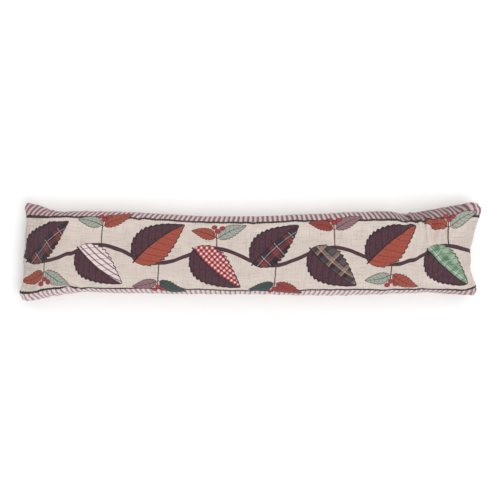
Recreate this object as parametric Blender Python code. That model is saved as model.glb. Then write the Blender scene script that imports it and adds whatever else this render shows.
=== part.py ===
# A draught excluder: one long cloth cushion, stuffed and sewn shut, lying on its back.
# Metres, +Z up and out of the printed face, +X along the length, +Y to the far long edge.
# The origin is on the surface that the cushion rests on, under the middle of its footprint.

import math
from collections import namedtuple

import bmesh
import bpy
import numpy as np
from mathutils import Vector, noise

MM = 0.001

# The cover as it is cut and sewn
FLAT_WIDTH = 200 * MM       # each panel from long seam to long seam
SEAM_DEPTH = 1.8 * MM       # how far the sewn edge is pulled in between the two panels
SEAM_REACH = 5 * MM

# How the stuffed cover lies
SEAM_HEIGHT = 42 * MM       # the long seams above the floor, away from the ends
END_SEAM_HEIGHT = 29 * MM   # the end seams sag lower
END_RISE = 105 * MM         # length over which the seam climbs from the one to the other
END_ROUND = 18 * MM         # how far in from an end seam the two panels part
ROLL = math.radians(6)      # turned round the stuffing, so that the far seam shows from above
PRESS = 2.6 * MM            # how far its weight flattens it on the floor
SOFT_CONTACT = 1.2 * MM     # height over which the flat underside curves up into the sides
UPPER_SQUARENESS = 2.0      # 2 is an ellipse
LOWER_SQUARENESS = 2.7      # the underside is squarer under the weight
CORNER_FLATTENING = 0.45    # the stuffing does not reach into the corners
CORNER_REACH = 34 * MM
CORNER_RADIUS = 9 * MM      # a sewn corner that is turned out comes out blunt

# Unevenness of the cloth and the stuffing
LUMP_HEIGHT = 1.5 * MM
LUMP_LENGTH = 75 * MM
GATHER_HEIGHT = 1.3 * MM    # gathers along the long seams
GATHER_PITCH = 31 * MM
GATHER_REACH = 21 * MM
GATHER_DRIFT = 71 * MM      # length over which their spacing and height wander
GATHER_WANDER = 0.8         # how far they wander, in pitches
PLEAT_HEIGHT = 3.4 * MM     # soft pleats that run in from the end seams
PLEAT_PITCH = 41 * MM
PLEAT_REACH = 46 * MM
RIDGE_HEIGHT = 0.4          # the ridges beside a fold, as a share of its depth
RIDGE_OFFSET = 2.1          # and their distance from its middle, in half widths
BACK_CLEARANCE = 8 * MM     # the back is smooth up to this height, where it lies on the floor

# Mesh
CELLS_ALONG = 126
CELLS_ACROSS = 20
END_ROWS = 4                # closer rows where each end rounds over

CLOTH_COLOUR = (0.72, 0.62, 0.53, 1.0)
CLOTH_ROUGHNESS = 0.9

# The footprint seen from above, in millimetres: the two long edges at stations along the length
Section = namedtuple("Section", "along far near")
SECTIONS = (
    Section(-448, 96.5, -96.0),
    Section(-434, 96.0, -99.5),
    Section(-415, 92.0, -98.0),
    Section(-398, 84.8, -93.8),
    Section(-376, 78.0, -89.2),
    Section(-350, 77.2, -84.4),
    Section(-325, 77.2, -81.2),
    Section(-270, 77.0, -82.0),
    Section(-196, 73.2, -83.4),
    Section(-98, 68.0, -84.8),
    Section(0, 67.6, -84.9),
    Section(98, 71.4, -86.8),
    Section(196, 74.8, -86.8),
    Section(262, 77.0, -85.2),
    Section(300, 73.2, -82.6),
    Section(330, 77.8, -81.6),
    Section(364, 83.8, -83.4),
    Section(399, 90.4, -87.0),
    Section(425, 95.0, -90.0),
    Section(450, 98.0, -91.0),
)

# The end seams seen from above, in millimetres, from the near corner (0) to the far corner (1)
EndPoint = namedtuple("EndPoint", "share left right")
END_POINTS = (
    EndPoint(0.00, -452.5, 447.0),
    EndPoint(0.08, -450.0, 446.5),
    EndPoint(0.20, -445.5, 440.5),
    EndPoint(0.35, -444.0, 436.4),
    EndPoint(0.50, -443.0, 436.8),
    EndPoint(0.70, -440.2, 443.2),
    EndPoint(0.86, -438.4, 450.0),
    EndPoint(0.94, -440.4, 454.0),
    EndPoint(1.00, -444.0, 456.0),
)

# The main folds in the printed face: middle, heading in degrees from +X, and sizes in millimetres
Fold = namedtuple("Fold", "along across heading length width depth")
FOLDS = (
    Fold(299, 63, -62, 44, 11, 4.6),     # pinch at the far seam
    Fold(338, 38, 86, 62, 10, 3.2),      # two soft folds that run in from the far seam
    Fold(364, 36, 97, 54, 11, 2.8),
    Fold(344, 2, 48, 34, 8, 2.4),        # short slanting crease
    Fold(-336, -70, 12, 58, 9, 4.4),     # tuck beside the near seam
    Fold(306, -70, 4, 62, 9, 3.4),
    Fold(-372, 60, -28, 62, 11, 3.2),    # drawn in from the two ears at the left
    Fold(-384, -52, 30, 58, 12, 2.8),
    Fold(-404, 6, 4, 52, 12, 2.6),
    Fold(396, -34, -26, 56, 12, 2.8),    # and at the right
    Fold(408, 26, 12, 50, 12, 2.6),
    Fold(8, 57, 74, 26, 9, 1.8),         # small gathers at the far seam
    Fold(157, 62, 102, 26, 9, 1.8),
    Fold(-214, 64, 80, 24, 9, 1.6),
    Fold(84, -72, 96, 24, 9, 1.6),       # and at the near seam
    Fold(-130, -70, 84, 26, 10, 1.6),
)


def clear_scene():
    for obj in list(bpy.data.objects):
        bpy.data.objects.remove(obj, do_unlink=True)


def smooth_step(value):
    value = min(1.0, max(0.0, value))
    return value * value * (3 - 2 * value)


def smooth_curve(stations, values):
    """A smooth curve through a table's points: cubic pieces whose slopes come from the neighbours."""
    stations = np.array(stations, float)
    values = np.array(values, float)
    slopes = np.gradient(values, stations)

    def at(where):
        where = float(np.clip(where, stations[0], stations[-1]))
        k = int(np.clip(np.searchsorted(stations, where) - 1, 0, len(stations) - 2))
        span = stations[k + 1] - stations[k]
        f = (where - stations[k]) / span
        start = (1 + 2 * f) * (1 - f) ** 2 * values[k] + f * (1 - f) ** 2 * span * slopes[k]
        end = f * f * (3 - 2 * f) * values[k + 1] - f * f * (1 - f) * span * slopes[k + 1]
        return float(start + end)

    return at


FAR_EDGE = smooth_curve([row.along * MM for row in SECTIONS], [row.far * MM for row in SECTIONS])
NEAR_EDGE = smooth_curve([row.along * MM for row in SECTIONS], [row.near * MM for row in SECTIONS])
LEFT_END = smooth_curve([row.share for row in END_POINTS], [row.left * MM for row in END_POINTS])
RIGHT_END = smooth_curve([row.share for row in END_POINTS], [row.right * MM for row in END_POINTS])
TABLE_LENGTH = (SECTIONS[-1].along - SECTIONS[0].along) * MM


def crown_for(half_width):
    """Height of a half ellipse this wide whose arc is one panel's flat width, as cloth does not stretch."""
    low, high = 0.0, FLAT_WIDTH / 2
    for _ in range(40):
        crown = (low + high) / 2
        longer, shorter = 3 * half_width + crown, half_width + 3 * crown
        arc = math.pi / 2 * (3 * (half_width + crown) - math.sqrt(longer * shorter))
        if arc < FLAT_WIDTH:
            low = crown
        else:
            high = crown
    return (low + high) / 2


def row_share(row):
    """Where a row of the mesh stands, as a share of the length: even, and closer where an end rounds over."""
    last = CELLS_ALONG - row
    nearest = min(row, last)
    rounded = END_ROUND / TABLE_LENGTH
    if nearest <= END_ROWS:
        share = rounded * (1 - math.cos(math.pi / 2 * nearest / END_ROWS))
    else:
        share = rounded + (0.5 - rounded) * (nearest - END_ROWS) / (CELLS_ALONG / 2 - END_ROWS)
    return share if row < last else 1 - share


def end_distance(along):
    """Distance to the nearer end at a share of the length."""
    return min(along, 1 - along) * TABLE_LENGTH


def blunt(end_gap, edge_gap):
    """Gaps to the end and to the long edge, drawn in so that the square corner becomes a round one."""
    if max(end_gap, edge_gap) >= CORNER_RADIUS:
        return end_gap, edge_gap
    out_end, out_edge = CORNER_RADIUS - end_gap, CORNER_RADIUS - edge_gap
    scale = max(out_end, out_edge) / math.hypot(out_end, out_edge)
    return CORNER_RADIUS - out_end * scale, CORNER_RADIUS - out_edge * scale


def plan_point(along, across):
    """Footprint point for shares along and across, blended from the two long edges and the two ends."""
    station = SECTIONS[0].along * MM + along * TABLE_LENGTH
    width = FAR_EDGE(station) - NEAR_EDGE(station)
    end_gap, edge_gap = blunt(end_distance(along), min(across, 1 - across) * width)
    along = end_gap / TABLE_LENGTH if along < 0.5 else 1 - end_gap / TABLE_LENGTH
    across = edge_gap / width if across < 0.5 else 1 - edge_gap / width
    x = LEFT_END(across) * (1 - along) + RIGHT_END(across) * along
    y = NEAR_EDGE(station) * (1 - across) + FAR_EDGE(station) * across
    return x, y


def section_at(along):
    """Half width, crown above the seam and seam height at a share of the length."""
    station = SECTIONS[0].along * MM + along * TABLE_LENGTH
    half_width = (FAR_EDGE(station) - NEAR_EDGE(station)) / 2
    rounding = min(1.0, end_distance(along) / END_ROUND)
    crown = crown_for(half_width) * math.sqrt(1 - (1 - rounding) ** 2)
    climb = smooth_step(end_distance(along) / END_RISE)
    seam = END_SEAM_HEIGHT + (SEAM_HEIGHT - END_SEAM_HEIGHT) * climb
    return half_width, crown, seam


def rest_on_floor(height):
    """Flat at zero below the floor, with a short soft curve up out of it."""
    if height <= -SOFT_CONTACT:
        return 0.0
    if height < SOFT_CONTACT:
        return (height + SOFT_CONTACT) ** 2 / (4 * SOFT_CONTACT)
    return height


def skin_point(along, turn, side):
    """A point of the stuffed cover: side 1 is the printed panel and -1 the back, turn runs 0 to 1 across it.

    The angle goes round the section from its near side (0) over the top to its far side (half a turn).
    """
    half_width, crown, seam = section_at(along)
    settled = smooth_step(end_distance(along) / END_RISE)
    angle = side * math.pi * turn - ROLL * settled
    upper = math.sin(angle) > 0
    squareness = UPPER_SQUARENESS if upper else 2 + (LOWER_SQUARENESS - 2) * settled
    over = -math.copysign(abs(math.cos(angle)) ** (2 / squareness), math.cos(angle))
    rise = abs(math.sin(angle)) ** (2 / squareness)
    x, y = plan_point(along, (1 + over) / 2)
    to_corner = math.hypot(end_distance(along), (1 - abs(over)) * half_width)
    fullness = 1 - CORNER_FLATTENING * math.exp(-((to_corner / CORNER_REACH) ** 2))
    if upper:
        return Vector((x, y, seam + crown * rise * fullness))
    depth = min(crown, seam + PRESS)
    return Vector((x, y, rest_on_floor(seam - depth * rise * fullness)))


def main_folds(x, y):
    """The main folds: each a soft trough between two low ridges, fading out at its two tips."""
    total = 0.0
    for fold in FOLDS:
        heading = math.radians(fold.heading)
        dx, dy = x - fold.along * MM, y - fold.across * MM
        run = dx * math.cos(heading) + dy * math.sin(heading)
        off = dy * math.cos(heading) - dx * math.sin(heading)
        half_length, half_width = fold.length * MM / 2, fold.width * MM / 2
        fade = smooth_step(2 - 2 * abs(run) / half_length)
        trough = math.exp(-((off / half_width) ** 2))
        ridges = math.exp(-((abs(off) / half_width - RIDGE_OFFSET) ** 2))
        total += fold.depth * MM * fade * (RIDGE_HEIGHT * ridges - trough)
    return total


def gathers(x, far, side, to_seam):
    """Small gathers along a long seam, unevenly spaced, that die out across the panel."""
    drift = noise.noise(Vector((x / GATHER_DRIFT, 3.1 * far, 1.7 * side)))
    wave = math.cos(2 * math.pi * (x / GATHER_PITCH + GATHER_WANDER * drift) + far)
    return GATHER_HEIGHT * (0.65 + 0.9 * drift) * wave * math.exp(-to_seam / GATHER_REACH)


def end_pleats(point, turn, side, to_end):
    """Soft pleats that run in from an end seam: nothing at the seam, highest a little way in."""
    start = 1.3 * math.copysign(1, point.x) + 2.5 * side
    wave = math.cos(2 * math.pi * point.y / PLEAT_PITCH + start)
    swell = to_end / PLEAT_REACH * math.exp(1 - 2 * to_end / PLEAT_REACH)
    return PLEAT_HEIGHT * swell * wave * math.sin(math.pi * turn)


def relief(point, along, turn, side):
    """Height of the cloth's unevenness over the plain stuffed form."""
    to_end, to_seam = end_distance(along), min(turn, 1 - turn) * FLAT_WIDTH
    far = 1 if turn > 0.5 else -1
    height = gathers(point.x, far, side, to_seam) + end_pleats(point, turn, side, to_end)
    height += LUMP_HEIGHT * noise.noise(point / LUMP_LENGTH + Vector((0, 0, 7.3)))
    if side > 0:
        height += main_folds(point.x, point.y)
    # Both panels share the seam, so only its own groove moves it
    nearest = min(to_seam, to_end)
    groove = SEAM_DEPTH * math.exp(-((nearest / SEAM_REACH) ** 2))
    return height * smooth_step(nearest / (2 * SEAM_REACH)) - groove


def build_cover():
    """Two panels sewn together all round and stuffed: one closed skin."""
    bm = bmesh.new()
    along = bm.verts.layers.float.new("along")
    turn = bm.verts.layers.float.new("turn")
    side = bm.verts.layers.float.new("side")
    for panel in (1, -1):
        made = bmesh.ops.create_grid(bm, x_segments=CELLS_ALONG, y_segments=CELLS_ACROSS, size=0.5)
        for vert in made["verts"]:
            vert[along] = row_share(round((vert.co.x + 0.5) * CELLS_ALONG))
            vert[turn] = vert.co.y + 0.5
            vert[side] = panel
            vert.co = skin_point(vert[along], vert[turn], panel)
        if panel < 0:
            faces = list({face for vert in made["verts"] for face in vert.link_faces})
            bmesh.ops.reverse_faces(bm, faces=faces)
    bmesh.ops.remove_doubles(bm, verts=bm.verts, dist=0.01 * MM)
    bm.normal_update()
    places = []
    for vert in bm.verts:
        height = relief(vert.co, vert[along], vert[turn], vert[side])
        if vert[side] < 0:
            height *= smooth_step(vert.co.z / BACK_CLEARANCE)
        places.append(vert.co + vert.normal * height)
    for vert, place in zip(bm.verts, places):
        vert.co = (place.x, place.y, max(0.0, place.z))
    centre_footprint(bm)
    return bm


def centre_footprint(bm):
    lowest = Vector([min(vert.co[axis] for vert in bm.verts) for axis in range(3)])
    highest = Vector([max(vert.co[axis] for vert in bm.verts) for axis in range(3)])
    middle = (lowest + highest) / 2
    bmesh.ops.translate(bm, verts=bm.verts, vec=(-middle.x, -middle.y, 0))


def cloth_material():
    material = bpy.data.materials.new("cream_cloth")
    material.use_nodes = True
    shader = material.node_tree.nodes["Principled BSDF"]
    shader.inputs["Base Color"].default_value = CLOTH_COLOUR
    shader.inputs["Roughness"].default_value = CLOTH_ROUGHNESS
    shader.inputs["Metallic"].default_value = 0.0
    material.diffuse_color = CLOTH_COLOUR
    return material


def make_cushion(collection):
    bm = build_cover()
    mesh = bpy.data.meshes.new("cushion")
    bm.to_mesh(mesh)
    bm.free()
    mesh.materials.append(cloth_material())
    mesh.shade_smooth()
    cushion = bpy.data.objects.new("cushion", mesh)
    collection.objects.link(cushion)
    return cushion


def main():
    clear_scene()
    collection = bpy.data.collections.new("draught_excluder")
    bpy.context.scene.collection.children.link(collection)
    make_cushion(collection)


main()
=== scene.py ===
import math

import bmesh
import bpy
import numpy as np
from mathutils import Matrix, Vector, noise
from mathutils.bvhtree import BVHTree


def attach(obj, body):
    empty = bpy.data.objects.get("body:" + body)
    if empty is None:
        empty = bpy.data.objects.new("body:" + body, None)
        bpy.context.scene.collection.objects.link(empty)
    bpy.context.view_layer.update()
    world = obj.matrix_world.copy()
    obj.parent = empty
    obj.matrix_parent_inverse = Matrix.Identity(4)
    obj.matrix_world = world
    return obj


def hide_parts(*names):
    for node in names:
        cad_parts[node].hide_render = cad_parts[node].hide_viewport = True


mm = 0.001
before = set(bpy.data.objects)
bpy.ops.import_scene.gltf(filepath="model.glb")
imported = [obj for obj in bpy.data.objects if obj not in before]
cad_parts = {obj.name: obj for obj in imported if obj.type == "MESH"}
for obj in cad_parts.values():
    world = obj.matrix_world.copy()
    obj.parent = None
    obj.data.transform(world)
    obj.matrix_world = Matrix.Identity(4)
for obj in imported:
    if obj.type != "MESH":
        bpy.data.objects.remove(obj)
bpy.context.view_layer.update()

# the cover: two panels cut flat, sewn together all round, turned out and stuffed
cover = {
    "length": 900 * mm,     # each panel from seam to seam
    "width": 200 * mm,
    "cellsAlong": 220,
    "cellsAcross": 46,
    "crowding": 0.45,       # columns of cells stand closer together towards the long seams
    "roll": math.radians(6),    # turned round the stuffing, so that the far seam shows from above
    "seamHeight": 42 * mm,  # the long seams above the floor
    "endHeight": 29 * mm,   # and the end seams, which sag
    "endRise": 105 * mm,    # length over which the seam climbs from the one to the other
    "leftEars": (-91 * mm, 90 * mm),    # the straight part of each end seam, from corner to corner
    "rightEars": (-82 * mm, 92 * mm),
    "endGap": 0.7 * mm,     # how near to the end seam the skin is measured
    "earSteps": 40,         # points at which the skin is measured along an end seam,
    "arcSteps": 97,         # round half a section
    "crownSteps": 801,      # and along the crown
    "crownBlend": 0.7,      # how soon, away from the seams, the rows follow the crown
    "skinWeld": 0.02 * mm,
    "seamWeld": 0.05 * mm,
    "mapLift": 0.25,        # the back panel's place across the map, in metres
}


def smoothStep(value):
    value = np.clip(value, 0.0, 1.0)
    return value * value * (3 - 2 * value)


def columnShare(column):
    even = np.asarray(column) / cover["cellsAcross"]
    return even - cover["crowding"] * np.sin(2 * math.pi * even) / (2 * math.pi)


def skinCopy():
    skin = bmesh.new()
    skin.from_mesh(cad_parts["cushion"].data)
    bmesh.ops.remove_doubles(skin, verts=skin.verts, dist=cover["skinWeld"])
    return skin


def measureEnds(tree):
    # where the left and right end seams run, seen from above: x for each y
    lines = []
    for side, ears in ((-1, cover["leftEars"]), (1, cover["rightEars"])):
        ys = np.linspace(*ears, cover["earSteps"])
        inward = Vector((-side, 0, 0))
        hits = [tree.ray_cast(Vector((2 * side, y, cover["endHeight"])), inward)[0] for y in ys]
        lines.append((ys, np.array([hit.x for hit in hits])))
    return lines


def endX(line, y):
    return float(np.interp(y, *line))


def straightTree(skin, ends):
    # the skin with both end seams made straight, so that the cloth's rows are upright planes in it
    for vert in skin.verts:
        left, right = endX(ends[0], vert.co.y), endX(ends[1], vert.co.y)
        vert.co.x = (vert.co.x - left) / (right - left) * cover["length"]
    return BVHTree.FromBMesh(skin)


def bentBack(point, ends):
    left, right = endX(ends[0], point.y), endX(ends[1], point.y)
    return Vector((left + (right - left) * point.x / cover["length"], point.y, point.z))


def seamHeightAt(x):
    toEnd = min(x, cover["length"] - x)
    climb = float(smoothStep(toEnd / cover["endRise"]))
    return cover["endHeight"] + (cover["seamHeight"] - cover["endHeight"]) * climb, climb


def sectionCaster(tree, x):
    # a function from an angle round this section (0 near side, half a turn far side) to the skin
    height, climb = seamHeightAt(x)
    centre = Vector((x, 0, height))
    ways = ((0, -1, 0), (0, 1, 0), (0, 0, 1), (0, 0, -1))
    reach = [tree.ray_cast(centre, Vector(way))[3] for way in ways]
    middle = (reach[1] - reach[0]) / 2
    centre.y = middle
    halfWidth = (reach[0] + reach[1]) / 2

    def at(angle):
        rise = reach[2] if math.sin(angle) > 0 else reach[3]
        way = Vector((0, -math.cos(angle) * halfWidth, math.sin(angle) * rise)).normalized()
        return tree.ray_cast(centre, way)[0]

    return at, -cover["roll"] * climb, (middle - halfWidth, middle + halfWidth)


def columnAngles(at, start, side):
    # angles at which the columns cross the section's arc from seam to seam
    angles = start + side * np.linspace(0, math.pi, cover["arcSteps"])
    points = np.array([at(angle) for angle in angles])
    run = np.concatenate([[0], np.cumsum(np.linalg.norm(np.diff(points, axis=0), axis=1))])
    return np.interp(run[-1] * columnShare(np.arange(cover["cellsAcross"] + 1)), run, angles)


def meridian(tree):
    # stations along the length that part the crown line into equal lengths
    turn = np.linspace(0, math.pi, cover["crownSteps"])
    xs = (cover["length"] / 2) * (1 - np.cos(turn))
    xs = np.clip(xs, cover["endGap"], cover["length"] - cover["endGap"])
    tops = np.array([tree.ray_cast(Vector((x, 0, 1)), Vector((0, 0, -1)))[0].z for x in xs])
    run = np.concatenate([[0], np.cumsum(np.hypot(np.diff(xs), np.diff(tops)))])
    return np.interp(np.linspace(0, run[-1], cover["cellsAlong"] + 1), run, xs)


def offEnds(x):
    # kept just inside the end seams, where the skin can be measured
    return min(max(x, cover["endGap"]), cover["length"] - cover["endGap"])


def coverPoint(tree, ends, x, angle):
    at, _, _ = sectionCaster(tree, offEnds(x))
    return bentBack(at(angle), ends)


def placeCover(tree, ends):
    # start[panel][row][column] on the stuffed skin, panel 0 printed and 1 the back
    along, across = cover["cellsAlong"], cover["cellsAcross"]
    start = np.zeros((2, along + 1, across + 1, 3))
    even = np.linspace(0, cover["length"], along + 1)
    crown = meridian(tree)
    shares = columnShare(np.arange(across + 1))
    blend = np.sin(math.pi * np.clip(shares, 0, 1)) ** cover["crownBlend"]
    for row in range(along + 1):
        at, first, edges = sectionCaster(tree, offEnds((even[row] + crown[row]) / 2))
        for panel, side in ((0, 1), (1, -1)):
            if row in (0, along):
                for column in range(across + 1):
                    y = edges[0] + (edges[1] - edges[0]) * shares[column]
                    x = endX(ends[0 if row == 0 else 1], y)
                    start[panel, row, column] = (x, y, cover["endHeight"])
                continue
            angles = columnAngles(at, first, side)
            for column in range(across + 1):
                x = even[row] + (crown[row] - even[row]) * blend[column]
                start[panel, row, column] = coverPoint(tree, ends, x, angles[column])
    start[1, :, 0], start[1, :, across] = start[0, :, 0], start[0, :, across]
    return start


# the panel isn't sewn in quite straight: how much wider each printed band shows there,
# as (place along the panel, more width) in millimetres
sewnIn = {
    "far": ((-446, 4), (-411, 4), (-374, -3), (-223, -3), (-129, -1), (0, 2), (80, -1), (176, 3),
            (290, 3), (306, 2), (319, 10), (341, 8), (399, 9), (450, 8)),
    "near": ((-446, -9), (-411, -1), (-387, 7), (-345, 7), (-335, -1), (-200, 4), (-59, 4), (0, 1),
             (160, 5), (225, 4), (255, 0), (294, 1), (317, -2), (387, -3), (411, -8), (423, -8), (450, -2)),
}


def sewnShift(u, acrossShare):
    # how far the print lies towards the near seam; acrossShare runs from -0.5 at that seam to 0.5
    far, near = (float(np.interp(u, *zip(*sewnIn[side]))) for side in ("far", "near"))
    return far * (0.5 + acrossShare) - near * (0.5 - acrossShare)


def sewCover(start):
    # two grids with their flat place kept, sewn along the border
    along, across = cover["cellsAlong"], cover["cellsAcross"]
    bm = bmesh.new()
    flat = bm.verts.layers.float_vector.new("flat")
    row = bm.verts.layers.int.new("row")
    column = bm.verts.layers.int.new("column")
    panelOf = bm.verts.layers.int.new("panel")
    for panel in (0, 1):
        made = bmesh.ops.create_grid(bm, x_segments=along, y_segments=across, size=0.5)
        for vert in made["verts"]:
            i, j = round((vert.co.x + 0.5) * along), round((vert.co.y + 0.5) * across)
            vert[flat] = (vert.co.x * cover["length"], (columnShare(j) - 0.5) * cover["width"], 0)
            vert[row], vert[column], vert[panelOf] = i, j, panel
            vert.co = start[panel, i, j]
        faces = list({face for vert in made["verts"] for face in vert.link_faces})
        for face in faces:
            face.material_index = panel
            face.smooth = True
        if panel == 1:
            bmesh.ops.reverse_faces(bm, faces=faces)
    patternMap = bm.loops.layers.uv.new("clothPattern")
    for face in bm.faces:
        lift = cover["mapLift"] * face.material_index
        for loop in face.loops:
            place = loop.vert[flat]
            shift = sewnShift(place.x / mm, place.y / cover["width"]) * mm
            mapY = place.y + cover["width"] / 2 + lift + shift
            loop[patternMap].uv = (place.x + cover["length"] / 2, mapY)
    bmesh.ops.remove_doubles(bm, verts=bm.verts, dist=cover["seamWeld"])
    return bm


def meshFrom(bm, name):
    mesh = bpy.data.meshes.new(name)
    bm.to_mesh(mesh)
    bm.free()
    piece = bpy.data.objects.new(name, mesh)
    bpy.context.scene.collection.objects.link(piece)
    return piece


def readPoints(mesh):
    points = np.zeros(len(mesh.vertices) * 3)
    mesh.vertices.foreach_get("co", points)
    return points.reshape(-1, 3)


def readAttribute(mesh, name, kind="value", size=1):
    attribute = mesh.attributes[name]
    number = np.int32 if attribute.data_type == "INT" else np.float32
    values = np.zeros(len(attribute.data) * size, dtype=number)
    attribute.data.foreach_get(kind, values)
    return values.reshape(-1, size) if size > 1 else values


# how the cloth fills out between its seams
filling = {
    "pressure": 3.5,
    "frames": 16,
    "quality": 6,
    "mass": 0.3,
    "tension": 30, "compression": 12, "shear": 8, "bending": 0.06,
    "damping": 8, "bendingDamping": 0.6, "airDamping": 2,
    "keepBelow": 34 * mm,   # only wrinkles finer than this stay: broader swelling isn't the solid's form
    "bell": 2.5,            # where the smoothing is cut off, in widths of its bell
    "cap": 7 * mm,          # no point moves further than this
}


def fillOut(piece):
    mesh = piece.data
    flat = readAttribute(mesh, "flat", "vector", 3)
    piece.shape_key_add(name="Basis")
    cut = piece.shape_key_add(name="cut")
    cut.data.foreach_set("co", flat.astype(np.float32).ravel())
    cut.value = 0
    cloth = piece.modifiers.new("cloth", "CLOTH")
    settings = cloth.settings
    settings.quality = filling["quality"]
    settings.mass = filling["mass"]
    settings.tension_stiffness = filling["tension"]
    settings.compression_stiffness = filling["compression"]
    settings.shear_stiffness = filling["shear"]
    settings.bending_stiffness = filling["bending"]
    settings.tension_damping = filling["damping"]
    settings.compression_damping = filling["damping"]
    settings.shear_damping = filling["damping"]
    settings.bending_damping = filling["bendingDamping"]
    settings.use_pressure = True
    settings.uniform_pressure_force = filling["pressure"]
    settings.effector_weights.gravity = 0
    settings.air_damping = filling["airDamping"]
    settings.rest_shape_key = cut
    cloth.collision_settings.use_collision = False
    cloth.collision_settings.use_self_collision = False
    scene = bpy.context.scene
    scene.frame_start, scene.frame_end = 1, filling["frames"]
    cloth.point_cache.frame_end = filling["frames"]
    for frameNumber in range(1, filling["frames"] + 1):
        scene.frame_set(frameNumber)
    filled = bpy.data.meshes.new_from_object(piece.evaluated_get(bpy.context.evaluated_depsgraph_get()))
    points = readPoints(filled)
    bpy.data.meshes.remove(filled)
    piece.modifiers.clear()
    piece.shape_key_clear()
    scene.frame_set(1)
    return points


def ringGrid(mesh):
    # vertex of each row and place round the section: printed panel, then the back in reverse
    along, across = cover["cellsAlong"], cover["cellsAcross"]
    row, column, panel = (readAttribute(mesh, name) for name in ("row", "column", "panel"))
    grid = np.zeros((along + 1, 2 * across), dtype=int)
    border = (row == 0) | (row == along) | (column == 0) | (column == across)
    onFront = (panel == 0) | border
    onBack = (panel == 1) | border
    index = np.arange(len(row))
    grid[row[onFront], column[onFront]] = index[onFront]
    behind = onBack & (column > 0) & (column < across)
    grid[row[behind], 2 * across - column[behind]] = index[behind]
    return grid


def softened(values, reach):
    # the broad part of a field over the ring grid
    cellX, cellY = cover["length"] / cover["cellsAlong"], cover["width"] / cover["cellsAcross"]
    for axis, cell in ((0, cellX), (1, cellY)):
        half = int(math.ceil(filling["bell"] * reach / cell))
        weights = np.exp(-0.5 * (np.arange(-half, half + 1) * cell / reach) ** 2)
        weights /= weights.sum()
        mode = "edge" if axis == 0 else "wrap"
        pads = [(half, half) if a == axis else (0, 0) for a in range(3)]
        padded = np.pad(values, pads, mode=mode)
        count = values.shape[axis]
        slices = [np.take(padded, range(k, k + count), axis=axis) * w for k, w in enumerate(weights)]
        values = sum(slices)
    return values


def tell(stage, lengths):
    mean, largest = float(lengths.mean()) / mm, float(lengths.max()) / mm
    print(stage + ": mean", round(mean, 2), "mm, most", round(largest, 2), "mm")


def settle(piece):
    # the simulation, of which only the wrinkles are kept
    start = readPoints(piece.data)
    filled = fillOut(piece)
    grid = ringGrid(piece.data)
    shift = (filled - start)[grid]
    tell("filled out", np.linalg.norm(shift, axis=2))
    fine = shift - softened(shift, filling["keepBelow"] / 2)
    length = np.linalg.norm(fine, axis=2, keepdims=True)
    fine *= np.minimum(1, filling["cap"] / np.maximum(length, 1e-9))
    tell("wrinkles kept", length)
    points = start.copy()
    points[grid] = start[grid] + fine
    points[:, 2] = np.maximum(points[:, 2], 0)
    piece.data.vertices.foreach_set("co", points.astype(np.float32).ravel())
    piece.data.update()


# the finer shape, in millimetres: seam, soft unevenness and corners
relief = {
    "groove": (2.6, 1.7),           # depth and half width of the sewn-in seam
    "roll": (0.6, 5.0, 2.8),        # height, distance and half width of the printed side's swelling
    "lumps": ((0.55, 26.0, 4.1), (0.18, 11.0, 8.7)),    # height, size and shift through the noise
    "clearOfSeam": 4.0,     # creases and unevenness begin this far from the seam
    "underFrom": 0.2,       # a point belongs to the underside where its normal rises less
    "clearance": 8.0,       # and the underside is smooth up to this height
    "cornerReach": 27.0,    # size of the part of a corner that is drawn out
}

# the puckers that the stitching makes: a quick and a slow wave along the seam, their spacing uneven
puckers = {
    "height": 0.8,
    "pitch": 8.5,
    "reach": 9.0,           # how soon they die away from the seam
    "clearOfSeam": 2.5,
    "drift": 45.0,          # length over which their spacing and height wander
    "drifts": (1.1, 9.0),   # by how much, for the quick and the slow wave
    "slow": (2.7, 0.5),     # the slow wave's pitch and height, as shares of the quick one's
    "change": (0.55, 1.2),  # the height's middle value and how far it wanders
    "apart": 30.0, "shift": 2.3,    # the two panels' distance in the noise, and the way through it
}

# the corners, in millimetres: place on the flat panel, how far each is drawn out, and its sewn roundness
corners = {
    "farLeft": ((-450, 96), (-3.0, 0.0), 13),
    "farRight": ((450, 82), (6.0, 0.5), 24),
    "nearLeft": ((-450, -100), (-4.5, -1.0), 18),
    "nearRight": ((450, -96), (1.5, -0.5), 15),
}

# the form that all creases share, in half widths where it is a width
creaseForm = {
    "taper": (1.25, 0.5),   # half width in the middle, and what it loses towards the ends
    "fade": 1.6,            # how steeply the depth goes at the ends
    "ridge": (0.35, 2),     # height and place of the cloth that stands up beside the crease
    "leanReach": 2.2,
}

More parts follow.
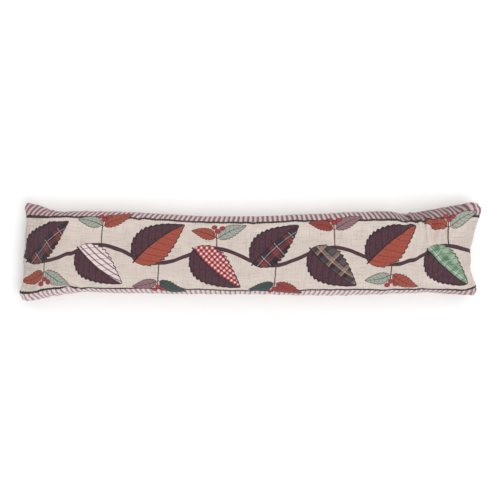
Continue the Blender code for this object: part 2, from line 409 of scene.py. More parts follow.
# creases in the printed face, seen from above: (x, y), heading in degrees, length, half width, depth,
# lean (how much higher its left side stands) and bend, all in millimetres
creases = {
    "farPinch": ((299, 72), -64, 34, 3.6, 2.2, 0.8, 3),
    "farPinchTail": ((314, 61), -30, 40, 3.4, 2.2, 0.9, -2),
    "farSoft": ((353, 42), 88, 66, 5.0, 6.6, 3.8, 2),
    "farSoftEnd": ((373, 26), 80, 64, 5.2, 6.2, 3.4, -2),
    "farShort": ((335, 52), 94, 32, 3.6, 4.0, 2.0, 1),
    "rightSlant": ((377, -22), -52, 44, 3.8, 3.8, 1.8, 2),
    "rightLow": ((366, -44), 28, 38, 3.6, 3.0, 1.3, -1),
    "middleSlant": ((344, 2), 48, 36, 3.6, 3.2, 1.4, 1),
    "nearTuck": ((-336, -73), -36, 34, 3.0, 2.2, 1.4, 2),
    "nearRoll": ((-388, -73), 5, 96, 4.6, 2.2, -0.8, 3),
    "leftDimple": ((-424, -66), 52, 30, 4.6, 1.8, 0.4, 2),
    "leftFar": ((-418, 58), -24, 40, 4.4, 1.6, 0.5, 3),
    "leftFarTwo": ((-388, 66), -14, 34, 3.6, 1.0, 0.3, -2),
    "rightDimple": ((428, 60), 34, 34, 4.6, 1.6, 0.4, -2),
    "rightNear": ((424, -66), -30, 34, 4.4, 1.6, 0.4, 2),
    "nearRidge": ((318, -70), 6, 56, 3.6, 1.4, -0.6, -2),
    "farOne": ((8, 60), 74, 22, 3.0, 0.8, 0.2, 1),
    "farTwo": ((157, 65), 102, 22, 3.0, 0.8, 0.2, 1),
    "farThree": ((-214, 66), 80, 22, 3.0, 0.8, 0.2, -1),
    "nearOne": ((84, -76), 96, 20, 3.0, 0.8, 0.2, 1),
    "nearTwo": ((-130, -74), 84, 22, 3.0, 0.8, 0.2, 1),
}


def refine(piece):
    # one round of subdivision, made part of the mesh
    finer = piece.modifiers.new("finer", "SUBSURF")
    finer.levels = finer.render_levels = 1
    finer.uv_smooth = "NONE"
    view = bpy.context.evaluated_depsgraph_get()
    refined = piece.evaluated_get(view)
    fine = bpy.data.meshes.new_from_object(refined, preserve_all_data_layers=True, depsgraph=view)
    piece.modifiers.clear()
    coarse = piece.data
    piece.data = fine
    bpy.data.meshes.remove(coarse)
    fine.name = piece.name


def panelSide(mesh):
    # 1 on the printed panel, -1 on the back, 0 on the seam between them
    loopPoints = np.zeros(len(mesh.loops), dtype=int)
    mesh.loops.foreach_get("vertex_index", loopPoints)
    panels, sizes = (np.zeros(len(mesh.polygons), dtype=int) for _ in range(2))
    mesh.polygons.foreach_get("material_index", panels)
    mesh.polygons.foreach_get("loop_total", sizes)
    panelOfLoop = np.repeat(panels, sizes)
    front, back = (
        np.bincount(loopPoints[panelOfLoop == panel], minlength=len(mesh.vertices)) > 0 for panel in (0, 1)
    )
    return front.astype(int) - back.astype(int)


def grainAt(points, length, shift):
    # noise with features of the given length
    return np.array([noise.noise(Vector(point / length) + Vector((0, 0, shift))) for point in points])


def seamRelief(u, v, side):
    # height of groove, swelling and puckers, and the distance to the nearest seam
    toLong = cover["width"] / 2 / mm - np.abs(v)
    toEnd = cover["length"] / 2 / mm - np.abs(u)
    nearest = np.minimum(toLong, toEnd)
    depth, halfWidth = relief["groove"]
    height = -depth * np.exp(-(nearest / halfWidth) ** 2)
    swell, away, halfWidth = relief["roll"]
    height += swell * (side > 0) * np.exp(-((nearest - away) / halfWidth) ** 2)
    pitch, reach = puckers["pitch"], puckers["reach"]
    nearSeam = nearest < 3 * reach
    wander = np.zeros(len(u))
    lanes = np.column_stack([u, v, puckers["apart"] * side])[nearSeam]
    wander[nearSeam] = grainAt(lanes, puckers["drift"], puckers["shift"])
    quickDrift, slowDrift = puckers["drifts"]
    slowPitch, slowHeight = puckers["slow"]
    middle, change = puckers["change"]
    for run, gap in ((u, toLong), (v, toEnd)):
        wave = np.cos(2 * math.pi * (run / pitch + quickDrift * wander))
        wave += slowHeight * np.cos(2 * math.pi * run / (pitch * slowPitch) + slowDrift * wander)
        fade = np.exp(-gap / reach) * smoothStep(nearest / puckers["clearOfSeam"])
        height += puckers["height"] * (middle + change * wander) * wave * fade
    return height, nearest


def creaseRelief(x, y):
    height = np.zeros(len(x))
    wide, taper = creaseForm["taper"]
    ridgeHeight, ridgeAt = creaseForm["ridge"]
    for at, heading, length, halfWidth, depth, lean, bend in creases.values():
        turn = math.radians(heading)
        run = (x - at[0]) * math.cos(turn) + (y - at[1]) * math.sin(turn)
        off = (y - at[1]) * math.cos(turn) - (x - at[0]) * math.sin(turn)
        share = np.abs(run) / (length / 2)
        off = off - bend * (1 - share ** 2)
        spread = halfWidth * (wide - taper * np.clip(share, 0, 1))
        fade = smoothStep(creaseForm["fade"] * (1 - share))
        trough = np.exp(-(off / spread) ** 2)
        ridges = np.exp(-((np.abs(off) / spread - ridgeAt) ** 2))
        tilt = off / spread * np.exp(-(off / (creaseForm["leanReach"] * spread)) ** 2)
        height += fade * (depth * (ridgeHeight * ridges - trough) + lean * tilt)
    return height


def roundedCorner(flat, side, radius):
    # the shift that turns one square corner of the flat panel into a round one
    half = np.array([cover["length"], cover["width"]]) / 2 / mm
    beyond = np.maximum(flat * side - (half - radius), 0)
    away = np.maximum(np.hypot(beyond[:, 0], beyond[:, 1]), 1e-6)
    return beyond * (beyond.max(axis=1) / away - 1)[:, None] * side


def finishShape(piece):
    mesh = piece.data
    points = readPoints(mesh)
    flat = readAttribute(mesh, "flat", "vector", 3) / mm
    normals = np.zeros(len(mesh.vertices) * 3)
    mesh.vertex_normals.foreach_get("vector", normals)
    normals = normals.reshape(-1, 3)
    side = panelSide(mesh)
    height, nearest = seamRelief(flat[:, 0], flat[:, 1], side)
    inPanel = smoothStep(nearest / relief["clearOfSeam"])
    for tall, length, shift in relief["lumps"]:
        height += tall * inPanel * grainAt(points / mm, length, shift)
    upper = side > 0
    height[upper] += creaseRelief(points[upper, 0] / mm, points[upper, 1] / mm) * inPanel[upper]
    underside = normals[:, 2] < relief["underFrom"]
    height *= np.where(underside, smoothStep(points[:, 2] / mm / relief["clearance"]), 1)
    points += normals * height[:, None] * mm
    for place, pull, radius in corners.values():
        away = np.hypot(flat[:, 0] - place[0], flat[:, 1] - place[1])
        points[:, :2] += np.exp(-(away / relief["cornerReach"]) ** 2)[:, None] * np.array(pull) * mm
        points[:, :2] += roundedCorner(flat[:, :2], np.sign(place), radius) * mm
    points[:, 2] = np.maximum(points[:, 2], 0)
    mesh.vertices.foreach_set("co", points.astype(np.float32).ravel())
    fromSeam = mesh.attributes.new("fromSeam", "FLOAT", "POINT")
    fromSeam.data.foreach_set("value", nearest.astype(np.float32))
    mesh.update()
    lowest, highest = round(float(height.min()), 2), round(float(height.max()), 2)
    print("shape finished: relief from", lowest, "to", highest, "mm")


skin = skinCopy()
ends = measureEnds(BVHTree.FromBMesh(skin))
straight = straightTree(skin, ends)
skin.free()
coverStart = placeCover(straight, ends)
cushion = meshFrom(sewCover(coverStart), "cushionCover")
print("cover sewn:", len(cushion.data.vertices), "points")
settle(cushion)
refine(cushion)
finishShape(cushion)
print("cover finished:", len(cushion.data.polygons) * 2, "triangles")


# the printing of the cloth: every pattern is worked out in millimetres on the flat panel
class Field:
    # a value that varies over the cloth; sums and products of fields become Math nodes
    tree = None

    def __init__(self, socket):
        self.socket = socket

    def __add__(self, other):
        return calc("ADD", self, other)

    def __radd__(self, other):
        return calc("ADD", other, self)

    def __sub__(self, other):
        return calc("SUBTRACT", self, other)

    def __rsub__(self, other):
        return calc("SUBTRACT", other, self)

    def __mul__(self, other):
        return calc("MULTIPLY", self, other)

    def __rmul__(self, other):
        return calc("MULTIPLY", other, self)

    def __truediv__(self, other):
        return calc("DIVIDE", self, other)

    def __pow__(self, other):
        return calc("POWER", self, other)

    def __abs__(self):
        return calc("ABSOLUTE", self)


def feed(socket, value):
    if isinstance(value, Field):
        value = value.socket
    if isinstance(value, bpy.types.NodeSocket):
        Field.tree.links.new(value, socket)
    else:
        socket.default_value = value


def calc(operation, *values, clamp=False):
    made = Field.tree.nodes.new("ShaderNodeMath")
    made.operation, made.use_clamp = operation, clamp
    for socket, value in zip(made.inputs, values):
        feed(socket, value)
    return Field(made.outputs[0])


def fract(value):
    return calc("FRACT", value)


def least(a, b):
    return calc("MINIMUM", a, b)


def most(a, b):
    return calc("MAXIMUM", a, b)


def step(value, low, high):
    # 0 below low, 1 above high, smooth between
    made = Field.tree.nodes.new("ShaderNodeMapRange")
    made.interpolation_type = "SMOOTHSTEP"
    feed(made.inputs["Value"], value)
    feed(made.inputs["From Min"], low)
    feed(made.inputs["From Max"], high)
    return Field(made.outputs["Result"])


def within(distance, half, soft=0.35):
    # 1 where a distance is less than half, with a soft edge
    return 1 - step(distance, half - soft, half + soft)


def noiseOn(vector, scale, detail=2.0, stretch=(1, 1, 1), roughness=0.5):
    # grain with features 1 / scale millimetres long, centred on 0.5
    mapping = Field.tree.nodes.new("ShaderNodeMapping")
    mapping.inputs["Scale"].default_value = [scale * s for s in stretch]
    feed(mapping.inputs["Vector"], vector)
    made = Field.tree.nodes.new("ShaderNodeTexNoise")
    made.inputs["Scale"].default_value = 1
    made.inputs["Detail"].default_value = detail
    made.inputs["Roughness"].default_value = roughness
    feed(made.inputs["Vector"], mapping.outputs[0])
    return Field(made.outputs["Fac"])


def chance(number, salt):
    # a fixed random value from 0 to 1 for each whole number
    made = Field.tree.nodes.new("ShaderNodeTexWhiteNoise")
    made.noise_dimensions = "1D"
    feed(made.inputs["W"], number + salt)
    return Field(made.outputs["Value"])


def paint(under, over, mask):
    made = Field.tree.nodes.new("ShaderNodeMix")
    made.data_type, made.clamp_factor = "RGBA", True
    feed(made.inputs[0], mask)
    feed(made.inputs[6], under)
    feed(made.inputs[7], over)
    return made.outputs[2]


def shade(colour, field, low, high):
    # darkens and lightens a colour as a field goes from 0 to 1
    grey = low + (high - low) * field
    made = Field.tree.nodes.new("ShaderNodeVectorMath")
    made.operation = "SCALE"
    feed(made.inputs[0], colour[:3] if isinstance(colour, list) else colour)
    feed(made.inputs["Scale"], grey)
    return made.outputs[0]


def linear(hexCode):
    # an sRGB colour as Blender's linear one
    parts = [int(hexCode[k:k + 2], 16) / 255 for k in (0, 2, 4)]
    return [p / 12.92 if p < 0.04045 else ((p + 0.055) / 1.055) ** 2.4 for p in parts] + [1.0]


def ramp(value, stops):
    # sharp steps of colour: each stop is (where it starts between 0 and 1, colour)
    made = Field.tree.nodes.new("ShaderNodeValToRGB")
    made.color_ramp.interpolation = "CONSTANT"
    elements = made.color_ramp.elements
    while len(elements) < len(stops):
        elements.new(1.0)
    for element, (place, code) in zip(elements, stops):
        element.position, element.color = place, linear(code)
    feed(made.inputs[0], value)
    return made.outputs[0]


def threads(value, pitch, stops):
    return ramp(fract(value / pitch), stops)


def woven(run, off, pitch, stops, deep=False):
    # a check: the same threads run both ways and each shows by half, or both stain the cloth if deep
    crossing = paint(threads(run, pitch, stops), threads(off, pitch, stops), 1.0 if deep else 0.5)
    if deep:
        crossing.node.blend_type = "MULTIPLY"
    return crossing


inks = {
    "cream": "d4c8be", "blush": "d0beb9", "linenDark": "ad9d93",
    "pink": "ddcacb", "mauve": "6c4f53", "softMauve": "a48587", "deepMauve": "8a6165",
    "line": "2b2c28", "lineWarm": "40302f",
    "plum": "482f39", "plumDark": "2b1d24", "fleck": "6b3d44", "darkVein": "20171a",
    "rust": "9c4a3c", "brick": "8f3a36", "sage": "9b9f94", "teal": "3b4949", "heather": "8b696d",
    "stem": "402c32", "outline": "322c2b", "berry": "9c3439",
}


def ink(name):
    return linear(inks[name])


printEdge = 0.3     # softness of a printed edge, in millimetres like all lengths below

# mottling of the colours: 1 / its size, its detail, and how dark and how light it makes them
mottles = {
    "line": (0.5, 2.0, 0.8, 1.5),
    "tweed": (0.7, 3.0, 0.4, 1.6),
    "leaf": (0.3, 3.0, 0.6, 1.4),
    "rust": (0.3, 4.0, 0.5, 1.5),
    "berry": (0.4, 2.0, 0.75, 1.3),
    "ground": (0.03, 4.0, 0.9, 1.1),
}

# patches of an ink: 1 / their size, detail, stretch, the grain where they start and are full, strength
patches = {
    "lineWarm": (0.03, 1.0, (1, 1, 1), (0.5, 0.62), 1.0),
    "plumDark": (0.12, 3.0, (1, 1, 1), (0.45, 0.75), 0.7),
    "fleck": (0.34, 4.0, (1, 2, 1), (0.46, 0.72), 0.85),
    "blush": (0.05, 3.0, (1, 1, 1), (0.42, 0.62), 0.5),
}

# the ticking band along each long seam, and the dark line that parts it from the ground
bands = {
    "inner": 74.0,          # from the panel's middle
    "pitch": 9.6,
    "stripe": (0.3, 0.7, 1.1, 0.6),     # place in the pitch, half width, unevenness and soft edge
    "paleStripe": (0.76, 1.6, 1.4, 0.7),
    "unevenScale": (0.045, 1.0), "wornScale": (0.3, 3.0),
    "worn": (0.5, 0.8),     # how strongly the stripes are printed: least, and how much more
    "faintNear": 0.75,      # and the near ones by this share of that
    "paintedLightNear": 0.55,       # painted light: how far the near band's ground is paler, on the side that faces the light
    "keptPale": 0.55,       # how far the pale stripes escape the deeper colour
    "fan": (0.75, 0.5), "fanAt": 430.0,     # the far and near stripes lean outwards towards the ends
    "fanEnd": (390.0, 442.0), "straighter": 0.8,    # but stand straighter in the right-hand corners
    "wander": ((2.4, 0.06), (0.9, 0.9)),    # how far the stripes stray, and 1 / over what length
    "wobble": 1.2, "wobbleScale": (0.05, 0.06),     # the same for the whole print, along and across
    # painted shade: the far band, which faces away from the light, is darker, most at the ends but for the
    # far right corner, and in the pinch's crease; it is also darker at the right, and the near band is
    # deeper only at the right end
    "depth": (0.46, 0.9), "depthFrom": (280.0, 430.0), "cornerPale": 0.7,
    "pinchAt": 322.0, "pinchReach": (36.0, 28.0), "paintedPinchShade": 0.95,
    "paintedShadeFrom": (190.0, 290.0), "paintedShadeTo": (408.0, 432.0), "dark": 0.74,
    "nearDepth": 0.6, "nearDepthFrom": (300.0, 430.0),
    "lineWidth": 5.2, "lineTrim": 0.4,
    "nearLine": 0.8,        # the near line is printed thinner
    "lineTeeth": (2.3, 0.55, 3.0),      # its ragged edge: pitch, even part and uneven part
    "lineTeethScale": (0.22, 3.0), "raggedness": 0.7,
    "lineSway": 1.2, "lineSwayScale": (0.07, 1.0),
}

# the vine runs through cells of equal length; in some of them the sprig hangs lower
vine = {
    "cell": 111.0,
    "start": -6.0,             # where the fifth cell begins
    "cellsBefore": 4,
    "sway": 16.0,
    "width": 2.6,
    "swelling": (0.85, 0.5),   # the stem's width varies: least share, and how much more
    "swellingScale": 0.03,
    "outline": 1.0,
    "soft": 0.4,
    "drop": 17.0,
    "dropped": (0, 1, 1, 0, 1, 1, 0, 1),
    "grow": (0.96, 0.08),      # the big leaves' sizes: least, and how much more
}

# a sprig's stalk: how far left in its cell and at what height, lean, foot, top and half width
stalk = {"left": 1.0, "leftAt": -40, "lean": 0.12, "foot": (-56, -54), "top": (-17.0, -15.0), "half": 1.0}

# leaves in a cell of the vine: middle, heading in degrees, length, half width, bend, tooth length
bigLeaf = {
    "place": (1.0, 25.0), "heading": 42, "length": 114.0, "halfWidth": 37.0, "bend": 4.0,
    "teeth": 9.5, "toothDepth": 0.1, "veinPitch": 15.0, "vein": 0.9, "rib": 2.6, "stalk": 4.0, "edge": 1.6,
}
lowLeaf = {
    "place": (-27.0, -45.0), "heading": 196, "length": 50.0, "halfWidth": 12.5, "bend": 3.0,
    "teeth": 6.0, "toothDepth": 0.16, "veinPitch": 8.5, "vein": 0.7, "rib": 1.5, "stalk": 3.0, "edge": 1.0,
    "inks": ("rust", "sage", "heather", "rust", "teal", "brick", "sage", "rust"),
}
tipLeaf = {
    "place": (28.0, -52.0), "heading": -30, "length": 58.0, "halfWidth": 14.5, "bend": -3.0,
    "teeth": 6.5, "toothDepth": 0.16, "veinPitch": 9.0, "vein": 0.7, "rib": 1.6, "stalk": 4.0, "edge": 1.1,
    "inks": ("sage", "rust", "teal", "sage", "brick", "heather", "rust", "sage"),
}
berries = {"spots": ((-1.0, -52.0), (7.5, -59.0), (-8.0, -60.5)), "radius": 4.6, "outline": 0.9}

# the form that all printed leaves share
leafForm = {
    "toothBack": 0.78, "toothRound": 1.3,       # share of a tooth that rises slowly, and how it is rounded
    "broadAt": 0.72, "fullness": 0.85,          # how near its stalk a leaf is broadest, and how full
    "veinSlant": 0.5, "veinCurve": 0.35,
    "veinFree": (1.5, 4.0),                     # side veins end this far from the edge
    "ribTaper": 0.6, "ribEnd": 0.94,
    "soft": 0.6,
    "outlineFrom": (-0.9, -0.3), "outlineTo": (-0.5, 0.2),
    "rim": (2.5, 5.5), "rimDepth": 0.6,         # the tweed half is darker beside its edge
    "stripeLean": 0.08,
}

# checked and striped cloths: pitch, and the threads' starts in it with their colours
checks = {
    "winter": (33.0, ((0, "262331"), (0.24, "4d2a30"), (0.33, "93403a"), (0.41, "6a3531"),
                      (0.52, "a04a40"), (0.57, "262331"), (0.68, "cfc2bd"), (0.72, "262331"),
                      (0.86, "7d3a38"), (0.89, "262331"))),
    "gingham": (7.4, ((0, "f1e2dc"), (0.5, "b8616c"))),
    "grey": (30.0, ((0, "574c4e"), (0.30, "242024"), (0.36, "85786f"), (0.55, "cf9f80"),
                    (0.62, "25212a"), (0.9, "574c4e"))),
    "meadow": (29.0, ((0, "93a892"), (0.34, "587c5e"), (0.62, "93a892"), (0.70, "303f50"),
                      (0.75, "c4cfc1"), (0.83, "769478"))),
    "ticking": (9.6, ((0, "dccbcb"), (0.36, "a88a8d"), (0.42, "7d5c60"), (0.60, "a88a8d"),
                      (0.66, "dccbcb"))),
}

# which cells' big leaves are checked or striped, and with what; the others are rust
patternedCells = {1: "ticking", 3: "gingham", 5: "grey", 7: "meadow", 0: "winter", 4: "winter"}


def flatPlace():
    # where a point lies on the flat panel, in millimetres from its middle, and as a vector
    pattern = Field.tree.nodes.new("ShaderNodeUVMap")
    pattern.uv_map = "clothPattern"
    apart = Field.tree.nodes.new("ShaderNodeSeparateXYZ")
    feed(apart.inputs[0], pattern.outputs[0])
    inMillimetres = Field.tree.nodes.new("ShaderNodeVectorMath")
    inMillimetres.operation = "SCALE"
    feed(inMillimetres.inputs[0], pattern.outputs[0])
    inMillimetres.inputs["Scale"].default_value = 1 / mm
    u = Field(apart.outputs[0]) * (1 / mm) - cover["length"] / 2 / mm
    v = Field(apart.outputs[1]) * (1 / mm) - cover["width"] / 2 / mm
    return u, v, inMillimetres.outputs[0]


def leafFields(x, y, leaf, grow=1.0):
    # one printed leaf: distance in from its edge, run along it, distance off its midrib
    heading = math.radians(leaf["heading"])
    dx, dy = x - leaf["place"][0], y - leaf["place"][1]
    run = (dx * math.cos(heading) + dy * math.sin(heading)) / grow + leaf["length"] / 2
    off = (dy * math.cos(heading) - dx * math.sin(heading)) / grow
    share = calc("MULTIPLY", run, 1 / leaf["length"], clamp=True)
    off = off - leaf["bend"] * 4 * share * (1 - share)
    beat = fract(run / leaf["teeth"])
    back = leafForm["toothBack"]
    notch = (1 - least(beat / back, (1 - beat) / (1 - back))) ** leafForm["toothRound"]
    full = calc("SINE", (share ** leafForm["broadAt"]) * math.pi)
    width = leaf["halfWidth"] * (most(full, 0.0) ** leafForm["fullness"]) * (1 - leaf["toothDepth"] * notch)
    soft = leafForm["soft"]
    onLeaf = step(run, 0.0, soft) * (1 - step(run, leaf["length"] - soft, leaf["length"]))
    return width - abs(off), run, off, share, onLeaf


def printLeaf(cloth, fields, leaf, fill, veins):
    # fill, then side veins, midrib, stalk and outline
    inward, run, off, share, onLeaf = fields
    cloth = paint(cloth, fill, step(inward, -printEdge, printEdge) * onLeaf)
    reach = abs(off)
    curve = leafForm["veinCurve"] / leaf["halfWidth"]
    slant = fract((run - leafForm["veinSlant"] * reach - curve * reach * reach) / leaf["veinPitch"])
    side = within(abs(slant - 0.5) * leaf["veinPitch"], leaf["vein"] / 2)
    side = side * step(inward, *leafForm["veinFree"])
    rib = within(abs(off), leaf["rib"] * (1 - leafForm["ribTaper"] * share) / 2)
    rib = rib * step(run, -leaf["stalk"], 0.5 - leaf["stalk"])
    rib = rib * (1 - step(run, leaf["length"] * leafForm["ribEnd"], leaf["length"]))
    cloth = paint(cloth, veins, most(side * onLeaf, rib))
    outlineEnd = [leaf["edge"] + beyond for beyond in leafForm["outlineTo"]]
    edge = step(inward, *leafForm["outlineFrom"]) * (1 - step(inward, *outlineEnd))
    return paint(cloth, ink("outline"), edge * onLeaf)


def byCell(number, names):
    # one colour for each cell of the vine
    stops = [(place / len(names), inks[name]) for place, name in enumerate(names)]
    return ramp((number + 0.5) / len(names), stops)


def inCell(number, cell):
    return within(abs(number - cell), 0.5, 0.1)


def perCell(number, switches):
    # 1 in the cells that are switched on, 0 in the others
    return sum(inCell(number, cell) for cell, switched in enumerate(switches) if switched)


def mottled(colour, place, name):
    size, detail, dark, light = mottles[name]
    return shade(colour, noiseOn(place, size, detail), dark, light)


def patchy(under, name, place):
    # patches of the ink of that name over another colour
    size, detail, stretch, edge, strength = patches[name]
    grain = noiseOn(place, size, detail, stretch)
    return paint(under, ink(name), step(grain, *edge) * strength)


def stripe(beat, uneven, form):
    at, half, more, soft = form
    return within(abs(beat - bands["pitch"] * at), half + more * uneven, soft)


def printBands(cloth, u, v, place):
    fromMiddle = abs(v)
    onFar = step(v, -1.0, 1.0)
    farFan, nearFan = bands["fan"]
    lean = least(most(u / bands["fanAt"], -1.0), 1.0) * (nearFan + (farFan - nearFan) * onFar)
    lean = lean * (1 - bands["straighter"] * step(u, *bands["fanEnd"]))
    slanted = u + lean * (fromMiddle - bands["inner"])
    for stray, scale in bands["wander"]:
        slanted = slanted + stray * (noiseOn(place, scale) - 0.5)
    beat = fract(slanted / bands["pitch"]) * bands["pitch"]
    uneven = noiseOn(place, *bands["unevenScale"])
    wide, pale = stripe(beat, uneven, bands["stripe"]), stripe(beat, uneven, bands["paleStripe"])
    leastWorn, moreWorn = bands["worn"]
    worn = leastWorn + moreWorn * noiseOn(place, *bands["wornScale"])
    # painted shade on the far band along the panel, and the near band's deeper right end
    shallow, deep = bands["depth"]
    inCorner = step(u, *bands["paintedShadeTo"])
    atEnd = step(abs(u), *bands["depthFrom"]) * (1 - bands["cornerPale"] * inCorner)
    depth = onFar * (shallow + (deep - shallow) * atEnd)
    # painted shade in the pinch's crease
    pinched = within(abs(u - bands["pinchAt"]), *bands["pinchReach"])
    depth = most(depth, onFar * bands["paintedPinchShade"] * pinched)
    depth = most(depth, bands["nearDepth"] * step(u, *bands["nearDepthFrom"]))
    # pale stripes, and painted light on the near band's ground
    ticking = paint(ink("softMauve"), ink("pink"), most(pale, bands["paintedLightNear"] * (1 - onFar)))
    ticking = paint(ticking, ink("deepMauve"), depth * (1 - bands["keptPale"] * pale))
    strength = bands["faintNear"] + (1 - bands["faintNear"]) * onFar
    ticking = paint(ticking, ink("mauve"), wide * worn * strength)
    # painted shade: the far band darker right of the pinch
    dark = onFar * step(u, *bands["paintedShadeFrom"]) * (1 - inCorner)
    ticking = shade(ticking, dark, 1.0, bands["dark"])
    onBand = step(fromMiddle, bands["inner"] - printEdge, bands["inner"] + printEdge)
    cloth = paint(cloth, ticking, onBand)
    # the dark line
    toothPitch, toothHeight, roughness = bands["lineTeeth"]
    ragged = toothHeight * calc("PINGPONG", u, toothPitch)
    ragged = ragged + roughness * (noiseOn(place, *bands["lineTeethScale"]) - 0.5)
    sway = bands["lineSway"] * (noiseOn(place, *bands["lineSwayScale"]) - 0.5)
    lineHalf = bands["lineWidth"] / 2 * (bands["nearLine"] + (1 - bands["nearLine"]) * onFar)
    lineHalf = lineHalf - bands["lineTrim"] + ragged * bands["raggedness"]
    line = within(abs(fromMiddle - bands["inner"] + sway), lineHalf)
    return paint(cloth, mottled(patchy(ink("line"), "lineWarm", place), place, "line"), line)


def tweedCloth(place):
    tweed = mottled(ink("plum"), place, "tweed")
    return patchy(patchy(tweed, "plumDark", place), "fleck", place)


def printSprig(cloth, x, y, number, drop, place):
    # stalk, two leaves and berries, hanging from the stem
    lower = y + drop
    off = x + stalk["left"] - stalk["lean"] * (lower - stalk["leftAt"])
    low, high = stalk["foot"]
    upright = step(y, low - drop, high - drop) * (1 - step(y, *stalk["top"]))
    cloth = paint(cloth, ink("stem"), within(abs(off), stalk["half"]) * upright)
    for leaf in (lowLeaf, tipLeaf):
        fill = mottled(byCell(number, leaf["inks"]), place, "leaf")
        fields = leafFields(x, lower, leaf)
        cloth = printLeaf(cloth, fields, leaf, fill, ink("outline"))
    for spotX, spotY in berries["spots"]:
        away = calc("SQRT", (x - spotX) ** 2 + (lower - spotY) ** 2)
        cloth = paint(cloth, ink("outline"), within(away, berries["radius"] + berries["outline"]))
        red = mottled(ink("berry"), place, "berry")
        cloth = paint(cloth, red, within(away, berries["radius"]))
    return cloth


def printVine(cloth, u, v, place):
    # cells of the vine, with every second one turned upside down
    cellAt = (u - (vine["start"] - vine["cellsBefore"] * vine["cell"])) / vine["cell"]
    number = calc("FLOOR", cellAt)
    x = (cellAt - number - 0.5) * vine["cell"]
    upward = 1 - 2 * calc("PINGPONG", number, 1.0)
    y = v * upward
    sway = 0 - vine["sway"] * calc("COSINE", x * (math.pi / vine["cell"]))
    thinnest, swelling = vine["swelling"]
    stemHalf = vine["width"] * (thinnest + swelling * noiseOn(place, vine["swellingScale"]))
    drop = vine["drop"] * perCell(number, vine["dropped"])
    smallest, growth = vine["grow"]
    grow = smallest + growth * chance(number, 1.3)
    tweed = tweedCloth(place)
    cloth = printSprig(cloth, x, y, number, drop, place)
    fromStem = abs(y - sway)
    cloth = paint(cloth, ink("outline"), within(fromStem, stemHalf + vine["outline"], vine["soft"]))
    cloth = paint(cloth, tweed, within(fromStem, stemHalf, vine["soft"]))
    # the big leaf, half tweed and half patterned
    fields = leafFields(x, y, bigLeaf, grow)
    inward, run, off = fields[:3]
    patterned = mottled(ink("rust"), place, "rust")
    for cell, name in patternedCells.items():
        pitch, stops = checks[name]
        if name == "ticking":
            fill = threads(off + leafForm["stripeLean"] * run, pitch, stops)
        else:
            fill = woven(run, off, pitch, stops, deep=name == "gingham")
        patterned = paint(patterned, fill, inCell(number, cell))
    rim = leafForm["rimDepth"] * (1 - step(inward, *leafForm["rim"]))
    tweedHalf = paint(tweed, ink("darkVein"), rim)
    fill = paint(patterned, tweedHalf, step(off, -printEdge, printEdge))
    onTweed = step(off, -leafForm["soft"], leafForm["soft"])
    veins = paint(ink("outline"), ink("darkVein"), onTweed)
    return printLeaf(cloth, fields, bigLeaf, fill, veins)


# the cloth itself, the same on both panels
weave = {
    "pitch": 0.95,
    "slub": (0.62, 3.0),       # 1 / thickness of a slub, and detail
    # slubs along and across: stretch, the grain where they start and are full, strength
    "slubs": (((0.05, 1, 1), (0.48, 0.72), 0.8), ((1, 0.06, 1), (0.50, 0.74), 0.75)),
    "paintedEndShade": ((-452.0, -385.0, 0.86), (452.0, 350.0, 0.9)),     # painted shade: the ground is darker and greyer at its ends, where the light falls off
    "paintedLightFrom": (25.0, 62.0), "middle": 0.945, "pale": 1.035,     # and painted shade and light: darker in the middle, paler beside the bands
    "seamShade": 0.6, "seamReach": 4.0,     # and painted shade: the cloth darker where it turns into a seam
    "threadTones": (0.95, 1.03),
    "threadHeight": 0.5, "slubHeight": 0.6, "fuzzHeight": 0.4, "fuzz": (1.2, 2.0),
    "depth": 0.12 * mm, "bump": 0.55,
    "roughLow": 0.82, "roughHigh": 0.96,
    "finish": {"Sheen Weight": 0.12, "Sheen Roughness": 0.6, "Specular IOR Level": 0.25},
}


def clothGround(u, v, place):
    # linen-look ground: long slubs both ways, a little warm and cool variation, painted shade at its ends
    # and in its middle, and painted light beside the bands
    colour, slubs = ink("cream"), []
    for stretch, edge, strength in weave["slubs"]:
        slubs.append(noiseOn(place, *weave["slub"], stretch))
        colour = paint(colour, ink("linenDark"), step(slubs[-1], *edge) * strength)
    # painted shade in the ground's middle and painted light beside the bands
    colour = shade(colour, step(abs(v), *weave["paintedLightFrom"]), weave["middle"], weave["pale"])
    colour = patchy(colour, "blush", place)
    # painted shade: the ground darker towards each end
    for end, inner, grey in weave["paintedEndShade"]:
        colour = shade(colour, step(u * math.copysign(1, end), abs(inner), abs(end)), 1.0, grey)
    return mottled(colour, place, "ground"), slubs


def finishCloth(material, colour, u, v, slubs, place):
    shader = material.node_tree.nodes["Principled BSDF"]
    turn = 2 * math.pi / weave["pitch"]
    thread = calc("SINE", u * turn) * calc("SINE", v * turn) * 0.5 + 0.5
    # painted shade in the seam's groove, fading out away from the seam
    fromSeam = Field.tree.nodes.new("ShaderNodeAttribute")
    fromSeam.attribute_name = "fromSeam"
    clear = step(fromSeam.outputs["Fac"], 0.0, weave["seamReach"])
    colour = shade(colour, clear, 1 - weave["seamShade"], 1.0)
    feed(shader.inputs["Base Color"], shade(colour, thread, *weave["threadTones"]))
    height = thread * weave["threadHeight"] + noiseOn(place, *weave["fuzz"]) * weave["fuzzHeight"]
    for slub in slubs:
        height = height + slub * weave["slubHeight"]
    bump = Field.tree.nodes.new("ShaderNodeBump")
    bump.inputs["Strength"].default_value = weave["bump"]
    bump.inputs["Distance"].default_value = weave["depth"]
    feed(bump.inputs["Height"], height)
    feed(shader.inputs["Normal"], bump.outputs[0])
    feed(shader.inputs["Roughness"], weave["roughLow"] + (weave["roughHigh"] - weave["roughLow"]) * thread)
    for name, value in weave["finish"].items():
        shader.inputs[name].default_value = value


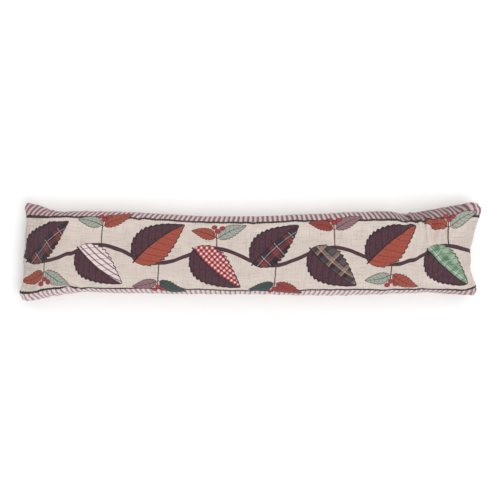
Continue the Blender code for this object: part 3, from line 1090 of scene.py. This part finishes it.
def clothPanel(name, printed):
    material = bpy.data.materials.new(name)
    material.use_nodes = True
    Field.tree = material.node_tree
    u, v, place = flatPlace()
    colour, slubs = clothGround(u, v, place)
    if printed:
        scaleU, scaleV = bands["wobbleScale"]
        printU = u + bands["wobble"] * (noiseOn(place, scaleU) - 0.5)
        printV = v + bands["wobble"] * (noiseOn(place, scaleV) - 0.5)
        colour = printBands(colour, printU, printV, place)
        colour = printVine(colour, printU, printV, place)
    finishCloth(material, colour, u, v, slubs, place)
    print(name, "has", len(material.node_tree.nodes), "nodes")
    return material


cushion.data.materials.append(clothPanel("printedPanel", True))
cushion.data.materials.append(clothPanel("backPanel", False))
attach(cushion, "root")
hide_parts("cushion")

# the studio: pale floor, soft light from above, camera straight above the printed face
studio = {
    "floorSize": 8.0,
    "floorColour": (0.97, 0.97, 0.97, 1), "floorRoughness": 0.9,
    "world": 0.6,
    "mainLight": {"place": (0.5, -0.5, 1.2), "spread": 46, "strength": 1.24},    # spread in degrees
    "fillLight": {"place": (0.3, 0.9, 1.3), "spread": 70, "strength": 0.76},
    "camera": (-0.5 * mm, 2.4 * mm, 3.0),
    "shownWidth": 0.977,       # the picture's side on the plane of the end seams
}


def softSun(name, place, spread, strength):
    # a wide, distant light, so that the floor is evenly lit
    data = bpy.data.lights.new(name, "SUN")
    data.angle, data.energy = math.radians(spread), strength
    light = bpy.data.objects.new(name, data)
    light.location = place
    light.rotation_mode = "QUATERNION"
    light.rotation_quaternion = (-Vector(place)).to_track_quat("-Z", "Y")
    bpy.context.scene.collection.objects.link(light)


def makeStudio():
    bm = bmesh.new()
    bmesh.ops.create_grid(bm, x_segments=1, y_segments=1, size=studio["floorSize"] / 2)
    floor = meshFrom(bm, "floor")
    paleFloor = bpy.data.materials.new("paleFloor")
    paleFloor.use_nodes = True
    shader = paleFloor.node_tree.nodes["Principled BSDF"]
    shader.inputs["Base Color"].default_value = studio["floorColour"]
    shader.inputs["Roughness"].default_value = studio["floorRoughness"]
    floor.data.materials.append(paleFloor)
    softSun("mainLight", **studio["mainLight"])
    softSun("fillLight", **studio["fillLight"])
    world = bpy.data.worlds.new("studioWorld")
    world.use_nodes = True
    background = world.node_tree.nodes["Background"]
    background.inputs["Color"].default_value = (1, 1, 1, 1)
    background.inputs["Strength"].default_value = studio["world"]
    bpy.context.scene.world = world
    camera = bpy.data.objects.new("camera", bpy.data.cameras.new("camera"))
    bpy.context.scene.collection.objects.link(camera)
    camera.location = studio["camera"]
    reach = studio["camera"][2] - cover["endHeight"]
    camera.data.lens = camera.data.sensor_width * reach / studio["shownWidth"]
    bpy.context.scene.camera = camera
    bpy.context.scene.view_settings.view_transform = "Standard"


makeStudio()
print("studio ready")
